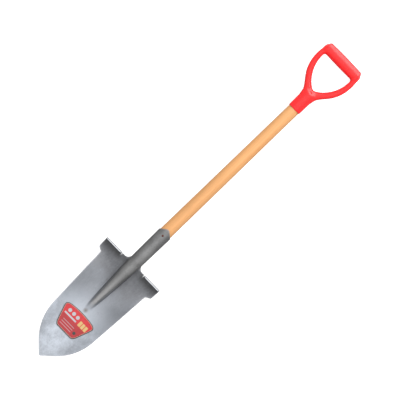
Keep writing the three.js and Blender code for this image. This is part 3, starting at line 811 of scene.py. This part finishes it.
def head_steel(colours, sizes):
    """Ground steel whose colour carries painted light and shade: painted light and bluish at the point and
    painted darker and greyer towards the treads.
    """
    low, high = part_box("blade_head")
    end = sizes.frog_length - 2
    stain_at = tuple(in_frame([sizes.length - end, 0, plate_height(end)], sizes))

    def build(tree):
        place = tree.add("ShaderNodeTexCoord").outputs["Object"]
        along = tree.add("ShaderNodeSeparateXYZ", {0: place}).outputs["X"]
        share = tree.remap(along, (low[0], high[0]))
        patches = use_group(tree, mottling_group(), Scale=34.0, Patches=1.5, Grain=0.7)["Mask"]
        uneven = tree.math("ADD", share, tree.math("MULTIPLY", tree.math("SUBTRACT", patches, 0.5), 0.16))
        bright, dark = tuple(colours.steel_with_painted_light), tuple(colours.steel_with_painted_shade)

        def between(share):
            return tuple(lerp(a, b, share) for a, b in zip(dark, bright))

        # The ramp paints light and shade along the blade: lit near the point, shaded towards the treads and
        # darkest on the socket.
        blade_stops = [(0.04, 0.6), (0.16, 0.74), (0.3, 0.8), (0.365, 0.6), (0.45, 0.34)]
        socket_stops = [(0.53, 0.24), (0.6, 0.05), (1.0, 0.0)]
        tone = tree.ramp(uneven, [(at, between(share)) for at, share in blade_stops + socket_stops])

        def attribute(name):
            return tree.add("ShaderNodeAttribute", attribute_name=name).outputs["Fac"]

        # Painted light: the raised frog and socket get their own lighter grey, standing in for the light they
        # catch beside the darker wings.
        ridge_painted_light_stops = [(0.45, 0.33), (0.53, 0.285), (0.587, 0.245), (0.63, 0.21), (1.0, 0.205)]
        crest = tree.ramp(uneven, [(at, grey(value)) for at, value in ridge_painted_light_stops])
        tone = tree.mix(attribute("ridge"), tone, crest)
        # Painted shade: the blade just below the treads, and the treads' lower part, are darkened almost to
        # black where the turned treads shade them.
        painted_shade = tree.math("MULTIPLY", attribute("bend"), tree.math("SUBTRACT", 1.0, attribute("ridge")))
        tone = tree.mix(tree.math("MULTIPLY", painted_shade, 0.7), tone, (0.035, 0.034, 0.033, 1))
        # Painted highlight: the upper part of each tread is painted pale, for the light caught by the treads'
        # top edges.
        tone = tree.mix(attribute("step"), tone, (0.74, 0.76, 0.8, 1))
        stain = tree.add("ShaderNodeVectorMath", {0: place, 1: stain_at}, operation="DISTANCE")
        spot = tree.remap(stain.outputs["Value"], (0.001, 0.008), (0.75, 0.0))
        tone = tree.mix(spot, tone, (0.12, 0.1, 0.08, 1))
        cloud = tree.ramp(patches, [(0.3, grey(0.3)), (0.7, grey(0.78))])
        speckle = tree.mix(0.3, tone, cloud, "OVERLAY")
        lines = use_group(tree, scratches_group(), Stretch=(60.0, 260.0, 160.0))["Mask"]
        lined = tree.mix(tree.math("MULTIPLY", lines, 0.03), speckle, (0.85, 0.88, 0.92, 1))
        worn = tree.math("MULTIPLY", tree.math("POWER", attribute("rim"), 2.0), patches, clamp=True)
        colour = tree.mix(tree.math("MULTIPLY", worn, 0.35), lined, (0.78, 0.8, 0.84, 1))
        rough = tree.remap(patches, end=(0.38, 0.58))
        height = tree.math("ADD", tree.math("MULTIPLY", lines, 0.05), patches)
        bump = tree.add("ShaderNodeBump", {"Height": height, "Strength": 0.14, "Distance": 0.0006})
        return {"Base Color": colour, "Roughness": rough, "Normal": bump.outputs["Normal"]}

    return new_material("head steel", build, Metallic=0.85)


def nail_steel():
    """Dark iron with spots of rust."""

    def build(tree):
        patches = use_group(tree, mottling_group(), Scale=420.0, Patches=1.6, Grain=0.8)["Mask"]
        iron, brown, rust = linear(58, 34, 30), linear(96, 52, 42), linear(150, 92, 70)
        colour = tree.ramp(patches, [(0.25, iron), (0.55, brown), (0.85, rust)])
        rough = tree.remap(patches, end=(0.4, 0.75))
        bump = tree.add("ShaderNodeBump", {"Height": patches, "Strength": 0.3, "Distance": 0.0002})
        return {"Base Color": colour, "Roughness": rough, "Normal": bump.outputs["Normal"]}

    return new_material("nail steel", build, Metallic=0.6)


def screw_steel():
    """Zinc plated steel with turning marks."""

    def build(tree):
        patches = use_group(tree, mottling_group(), Scale=300.0, Patches=0.8, Grain=0.4)["Mask"]
        lines = use_group(tree, scratches_group(), Stretch=(2600.0, 300.0, 400.0))["Mask"]
        colour = tree.ramp(patches, [(0.2, linear(140, 142, 146)), (0.8, linear(196, 198, 202))])
        rough = tree.remap(lines, end=(0.22, 0.42))
        bump = tree.add("ShaderNodeBump", {"Height": lines, "Strength": 0.2, "Distance": 0.0001})
        return {"Base Color": colour, "Roughness": rough, "Normal": bump.outputs["Normal"]}

    return new_material("screw steel", build, Metallic=1.0)


# The heart of the tree that the shaft was cut from, beside and below the shaft, in metres
HEART_ASIDE = 0.055
HEART_BELOW = 0.03
RINGS_PER_METRE = 310.0


def shaft_wood(colours):
    """Straight grained hardwood: growth rings seen from the side, pores and a thin wax."""

    def build(tree):
        source = tree.add("ShaderNodeTexCoord").outputs["Object"]
        waver = tree.noise(tree.place((2.2, 12, 12)), 1.0, 2.0)
        parts = tree.add("ShaderNodeSeparateXYZ", {0: source}).outputs
        sway = tree.math("MULTIPLY", tree.math("SUBTRACT", waver, 0.5), 0.02)
        aside = tree.math("ADD", tree.math("SUBTRACT", parts["Y"], HEART_ASIDE), sway)
        below = tree.math("ADD", parts["Z"], HEART_BELOW)
        squares = tree.math("ADD", tree.math("POWER", aside, 2.0), tree.math("POWER", below, 2.0))
        ring = tree.math("FRACT", tree.math("MULTIPLY", tree.math("SQRT", squares), RINGS_PER_METRE))
        late = tree.ramp(ring, [(0.0, grey(0.0)), (0.55, grey(0.25)), (0.9, grey(1.0)), (1.0, grey(0.0))])
        pores = tree.noise(tree.place((26, 1500, 1500)), roughness=0.6)
        broad = tree.noise(tree.place((4, 60, 60)))
        strength = tree.math("MULTIPLY", late, broad)
        grain = tree.mix(strength, (*colours.wood, 1), (*colours.dark_wood, 1))
        light = tree.ramp(broad, [(0.3, grey(0.84)), (0.7, grey(1.0))])
        toned = tree.mix(1.0, grain, light, "MULTIPLY")
        specks = tree.ramp(pores, [(0.3, grey(0.72)), (0.46, grey(1.0))])
        colour = tree.mix(0.7, toned, specks, "MULTIPLY")
        rough = tree.remap(pores, end=(0.62, 0.42))
        bump = tree.add("ShaderNodeBump", {"Height": pores, "Strength": 0.25, "Distance": 0.0002})
        return {"Base Color": colour, "Roughness": rough, "Normal": bump.outputs["Normal"]}

    return new_material("shaft wood", build, **{"Coat Weight": 0.12, "Coat Roughness": 0.3})


def grip_plastic(colours):
    """Glossy moulded plastic with a faint skin texture, handling marks and a mould line."""
    shaft_low, shaft_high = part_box("shaft")
    middle = (shaft_low[2] + shaft_high[2]) / 2

    def build(tree):
        patches = use_group(tree, mottling_group(), Scale=60.0, Patches=0.7, Grain=0.3)["Mask"]
        deep = tuple(value * 0.86 for value in colours.grip)
        colour = tree.ramp(patches, [(0.25, deep), (0.75, tuple(colours.grip))])
        marks = use_group(tree, scratches_group(), Stretch=(160.0, 420.0, 160.0))["Mask"]
        skin = tree.noise(tree.place(), 1700.0, 2.0)
        height = tree.coordinate("Z")
        seam = tree.band(height, middle - 0.00018, middle + 0.00018, 0.00012)
        rough = tree.remap(marks, end=(0.2, 0.32))
        relief = tree.math("ADD", tree.math("MULTIPLY", skin, 0.25), seam)
        bump = tree.add("ShaderNodeBump", {"Height": relief, "Strength": 0.22, "Distance": 0.0002})
        return {"Base Color": colour, "Roughness": rough, "Normal": bump.outputs["Normal"]}

    return new_material("grip plastic", build, **{"IOR": 1.38})


def label_film(colours):
    """Printed film: a red field with a dark border, a pale line inside it and plain bars and dots."""

    def build(tree):
        along = tree.add("ShaderNodeAttribute", attribute_name="label_along").outputs["Fac"]
        across = tree.add("ShaderNodeAttribute", attribute_name="label_across").outputs["Fac"]
        edge = tree.add("ShaderNodeAttribute", attribute_name="rim").outputs["Fac"]

        def block(low, high, left, right):
            rows = tree.band(along, low, high, 0.25)
            return tree.math("MULTIPLY", rows, tree.band(across, left, right, 0.25))

        def dot(at, side, radius):
            over = tree.math("POWER", tree.math("SUBTRACT", along, at), 2.0)
            beside = tree.math("POWER", tree.math("SUBTRACT", across, side), 2.0)
            return tree.band(tree.math("SQRT", tree.math("ADD", over, beside)), -1.0, radius, 0.25)

        red = tuple(colours.label)
        deep = tuple(value * 0.72 for value in red)
        tint = tree.noise(tree.place(), 160.0)
        shade = tree.ramp(tint, [(0.35, grey(0.86)), (0.65, grey(1.0))])
        field = tree.mix(tree.band(along, 34.0, 99.0, 3.0), (*deep, 1), (*red, 1))
        colour = tree.mix(1.0, field, shade, "MULTIPLY")
        white, yellow, dark = (0.38, 0.38, 0.41, 1), (0.52, 0.36, 0.13, 1), (0.02, 0.018, 0.018, 1)
        for side in (26.0, 13.0, 0.0):
            colour = tree.mix(dot(47.0, side, 4.6), colour, white)
        colour = tree.mix(block(34.5, 38.5, -4.0, 33.0), colour, white)
        for side in (-14.5, -23.5, -32.5):
            colour = tree.mix(block(34.0, 47.0, side - 3.6, side + 3.6), colour, yellow)
        for at in (10.0, 16.0, 22.0):
            colour = tree.mix(tree.math("MULTIPLY", block(at, at + 1.6, -12.0, 24.0), 0.5), colour, white)
        colour = tree.mix(dot(15.0, -20.0, 4.0), colour, dark)
        colour = tree.mix(tree.band(edge, 0.48, 0.58, 0.04), colour, (0.6, 0.5, 0.38, 1))
        colour = tree.mix(tree.band(edge, 0.58, 2.0, 0.04), colour, dark)
        rough = tree.remap(tint, end=(0.26, 0.42))
        bump = tree.add("ShaderNodeBump", {"Height": tint, "Strength": 0.1, "Distance": 0.0002})
        return {"Base Color": colour, "Roughness": rough, "Normal": bump.outputs["Normal"]}

    return new_material("label film", build, **{"Coat Weight": 0.3, "Coat Roughness": 0.2})


def pale_floor():
    """Near white where it is seen, mid grey to everything that stands on it."""

    def build(tree):
        tint = tree.noise(tree.place(), 2.0, 2.0)
        seen = tree.add("ShaderNodeLightPath").outputs["Is Camera Ray"]
        pale = tree.ramp(tint, [(0.3, grey(0.86)), (0.7, grey(0.88))])
        glow = tree.mix(seen, grey(0.0), grey(0.62))
        swept = tree.remap(tree.coordinate("X"), (0.47, 0.56))
        unseen = tree.ramp(swept, [(0.0, grey(0.26)), (1.0, grey(0.95))])
        return {"Base Color": tree.mix(seen, unseen, pale), "Emission Color": glow}

    return new_material("pale floor", build, **{"Roughness": 0.9, "Emission Strength": 1.0})


# Operators


class SHOVEL_OT_head(bpy.types.Operator):
    """Make the pressed steel head: blade, frog, treads and socket in one sheet"""

    bl_idname = "shovel.make_head"
    bl_label = "Make head"

    def execute(self, context):
        sizes = Sizes(context.scene)
        points, faces = weld(head_patches(sizes))
        steel = head_steel(context.scene.shovel_colours, sizes)
        head = new_piece("head_sheet", points, faces, sizes, "blade_head", steel)
        x, y, z = points.T
        u = sizes.length - x
        over = z - plate_height(u) - dish_rise(sizes, u, y)
        raised = np.where(x > sizes.length + 1, 1, smoothstep(over, 1, 9))
        on_tread = (np.abs(y) > TREAD_GAP / 2 - 1) & (x > sizes.length - TREAD_BEND - 0.01)
        add_attribute(head, "rim", rim_nearness(head, 0.004))
        add_attribute(head, "ridge", np.where(on_tread, 0, raised))
        # The bend mask places the painted shade: 1 on the treads and rising along the blade towards the bend,
        # strongest beside the treads.
        towards = smoothstep(x, sizes.length - 26, sizes.length - TREAD_BEND)
        beside = lerp(0.45, 1, smoothstep(np.abs(y), TREAD_GAP / 2 - 9, TREAD_GAP / 2))
        add_attribute(head, "bend", np.where(on_tread, 1, towards * beside))
        # The step mask places the painted highlight on the treads' upper part.
        add_attribute(head, "step", np.where(on_tread, smoothstep(z, -11, -4), 0))
        solid = head.modifiers.new("thickness", "SOLIDIFY")
        solid.thickness = (sizes.sheet - 2 * SLACK) * MM
        solid.offset = 0
        edge = head.modifiers.new("broken edges", "BEVEL")
        edge.width = 0.35 * MM
        edge.segments = 2
        edge.limit_method = "ANGLE"
        edge.angle_limit = math.radians(50)
        return {"FINISHED"}


class SHOVEL_OT_shaft(bpy.types.Operator):
    """Turn the wooden shaft, seated in the socket and the frog and shouldered at the grip"""

    bl_idname = "shovel.make_shaft"
    bl_label = "Make shaft"

    def execute(self, context):
        sizes = Sizes(context.scene)
        tail = sizes.length - SHAFT_END_DEPTH
        shoulder = sizes.grip_mouth - FIT
        corners = rounded(
            [
                [tail, 0],
                [tail, SHAFT_END_DIAMETER / 2],
                [sizes.length, sizes.neck / 2],
                [sizes.tongue_end, sizes.mouth / 2],
                [shoulder, sizes.upper / 2],
                [shoulder, SPIGOT_DIAMETER / 2],
                [sizes.grip_mouth + SPIGOT_LENGTH, SPIGOT_DIAMETER / 2],
                [sizes.grip_mouth + SPIGOT_LENGTH, 0],
            ],
            1.2,
        )
        profile = [corners[0]]
        for before, after in zip(corners, corners[1:]):
            steps = max(1, int(np.linalg.norm(after - before) / 8))
            profile += [lerp(before, after, (i + 1) / steps) for i in range(steps)]
        points, faces = turned(profile, 96)
        wood = shaft_wood(context.scene.shovel_colours)
        new_piece("shaft_wood", points, faces, sizes, "shaft", wood)
        return {"FINISHED"}


class SHOVEL_OT_grip(bpy.types.Operator):
    """Mould the D-grip: socket, two arms and a barrelled bar that flow into each other"""

    bl_idname = "shovel.make_grip"
    bl_label = "Make grip"

    def execute(self, context):
        sizes = Sizes(context.scene)
        field = GripField(sizes)
        half = sizes.grip_width / 2 + 3
        thick = GRIP_SOCKET_DIAMETER / 2 + 3
        step = 0.95
        points, faces = surface_net(field, (-3, -half, -thick), (sizes.grip_length + 3, half, thick), step)
        points = relaxed(field, field.settle(points), faces, 6)
        points = points + np.array([sizes.grip_mouth, 0, 0])
        plastic = grip_plastic(context.scene.shovel_colours)
        new_piece("grip_moulding", points, faces.tolist(), sizes, "d_grip", plastic)
        return {"FINISHED"}


class SHOVEL_OT_fastenings(bpy.types.Operator):
    """Drive the three socket nails and finish the grip's screw"""

    bl_idname = "shovel.make_fastenings"
    bl_label = "Make nails and screw"

    def execute(self, context):
        sizes = Sizes(context.scene)
        steel = nail_steel()
        head, shank = NAIL_HEAD_DIAMETER / 2, NAIL_DIAMETER / 2
        profile = rounded(
            [
                [-NAIL_HEAD_HEIGHT, 0],
                [-NAIL_HEAD_HEIGHT * 0.9, head * 0.62],
                [-NAIL_HEAD_HEIGHT * 0.3, head],
                [0, head],
                [0, shank],
                [NAIL_LENGTH - 4, shank],
                [NAIL_LENGTH, 0],
            ],
            0.5,
        )
        points, faces = turned(profile, 40)
        inward = np.stack([points[:, 1], points[:, 2], -points[:, 0]], axis=-1)
        rear = math.pi - math.radians(REAR_NAIL_ANGLE)
        nails = [
            ("front", FRONT_NAIL_BACK, 0.0),
            ("left", REAR_NAIL_BACK, rear),
            ("right", REAR_NAIL_BACK, -rear),
        ]
        for name, back, angle in nails:
            x = sizes.tongue_end - back
            seat = socket_radius(sizes, x) + sizes.sheet / 2 + FIT
            turn = np.array(Matrix.Rotation(-angle, 3, "X"))
            placed = (inward + np.array([0, 0, seat])) @ turn.T + np.array([x, 0, 0])
            node = "socket_nail_" + name
            new_piece("nail_" + name, placed, faces, sizes, node, steel)
        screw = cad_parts["grip_screw"]
        screw.material_slots[0].material = screw_steel()
        return {"FINISHED"}


class SHOVEL_OT_label(bpy.types.Operator):
    """Lay the printed label on the blade's face"""

    bl_idname = "shovel.make_label"
    bl_label = "Make label"

    def execute(self, context):
        sizes = Sizes(context.scene)

        def surface(x, y):
            u = sizes.length - x
            return np.stack([x, y, plate_height(u) + dish_rise(sizes, u, y)], axis=-1)

        def point_at(v, side):
            half = lerp(LABEL_FOOT_WIDTH, LABEL_TOP_WIDTH, v) / 2
            y = side * half * (1 - 0.07 * np.abs(2 * v - 1) ** 8)
            arch = LABEL_ARCH * v * (1 - side**2) - 0.06 * LABEL_LENGTH * (2 * v - 1) * side**12
            x = LABEL_FROM_POINT + LABEL_LENGTH * v + arch
            at = surface(x, y)
            normal = np.cross(surface(x + 0.01, y) - at, surface(x, y + 0.01) - at)
            normal /= np.linalg.norm(normal, axis=-1, keepdims=True)
            lifted = at + normal * (sizes.sheet / 2 + LABEL_GAP + LABEL_THICKNESS / 2)
            return np.moveaxis(lifted, -1, 0)

        rows, columns = np.linspace(0, 1, 56), np.linspace(-1, 1, 88)
        points, faces = patch(point_at, rows, columns)
        film = label_film(context.scene.shovel_colours)
        label = new_piece("label_film", points, faces, sizes, "blade_label", film)
        add_attribute(label, "label_along", points[:, 0] - LABEL_FROM_POINT)
        add_attribute(label, "label_across", points[:, 1])
        add_attribute(label, "rim", rim_nearness(label, 0.005))
        solid = label.modifiers.new("thickness", "SOLIDIFY")
        solid.thickness = LABEL_THICKNESS * MM
        solid.offset = 0
        return {"FINISHED"}


class SHOVEL_OT_stage(bpy.types.Operator):
    """Set the floor, the soft light and the camera"""

    bl_idname = "shovel.make_stage"
    bl_label = "Make stage"

    def execute(self, context):
        scene = context.scene
        floor = bpy.data.meshes.new("floor")
        side = 8.0
        corners = [(-side, -side, 0), (side, -side, 0), (side, side, 0), (-side, side, 0)]
        floor.from_pydata(corners, [], [(0, 1, 2, 3)])
        floor.materials.append(pale_floor())
        ground = bpy.data.objects.new("floor", floor)
        ground.location.z = CAD_BOX[0][2] - 0.0005
        scene.collection.objects.link(ground)

        world = bpy.data.worlds.new("studio")
        world.use_nodes = True
        sky = world.node_tree.nodes["Background"]
        sky.inputs["Color"].default_value = (1, 1, 1, 1)
        sky.inputs["Strength"].default_value = 0.7
        scene.world = world

        def softbox(name, at, size, power):
            lamp = bpy.data.lights.new(name, "AREA")
            lamp.energy = power
            lamp.size = size
            holder = bpy.data.objects.new(name, lamp)
            holder.location = at
            holder.rotation_euler = (-Vector(at)).to_track_quat("-Z", "Y").to_euler()
            scene.collection.objects.link(holder)

        softbox("panel at the grip end", (2.2, -0.1, 1.1), 2.4, 90)
        softbox("fill overhead", (0.1, -0.35, 3.0), 4.2, 38)

        lens = bpy.data.cameras.new("camera")
        lens.lens = 299
        lens.sensor_width = 36
        camera = bpy.data.objects.new("camera", lens)
        angle = math.radians(44.0)
        right = Vector((math.cos(angle), -math.sin(angle), 0))
        up = Vector((math.sin(angle), math.cos(angle), 0))
        turn = Matrix((right, up, right.cross(up))).transposed()
        camera.matrix_world = Matrix.Translation((0.0211, -0.0002, 7.96)) @ turn.to_4x4()
        scene.collection.objects.link(camera)
        scene.camera = camera
        scene.view_settings.view_transform = "Standard"
        return {"FINISHED"}


class SHOVEL_PT_panel(bpy.types.Panel):
    """Sizes, colours and the steps that make the shovel"""

    bl_idname = "SHOVEL_PT_panel"
    bl_label = "Round point shovel"
    bl_space_type = "VIEW_3D"
    bl_region_type = "UI"
    bl_category = "Shovel"

    def draw(self, context):
        for title, group in (
            ("Blade", context.scene.shovel_blade),
            ("Handle", context.scene.shovel_handle),
            ("Colours", context.scene.shovel_colours),
        ):
            column = self.layout.box().column(align=True)
            column.label(text=title)
            for name in group.__annotations__:
                column.prop(group, name)
        for operator in STEPS:
            self.layout.operator(operator.bl_idname)


GROUPS = {
    "shovel_blade": ShovelBladeSizes,
    "shovel_handle": ShovelHandleSizes,
    "shovel_colours": ShovelColours,
}
STEPS = (
    SHOVEL_OT_stage,
    SHOVEL_OT_head,
    SHOVEL_OT_shaft,
    SHOVEL_OT_grip,
    SHOVEL_OT_fastenings,
    SHOVEL_OT_label,
)


def register():
    for made in (*GROUPS.values(), *STEPS, SHOVEL_PT_panel):
        bpy.utils.register_class(made)
    for name, group in GROUPS.items():
        setattr(bpy.types.Scene, name, PointerProperty(type=group))


def unregister():
    for name in GROUPS:
        delattr(bpy.types.Scene, name)
    for made in (SHOVEL_PT_panel, *reversed(STEPS), *reversed(GROUPS.values())):
        bpy.utils.unregister_class(made)


def main():
    register()
    for step in STEPS:
        family, name = step.bl_idname.split(".")
        getattr(getattr(bpy.ops, family), name)()


if __name__ == "__main__":
    main()
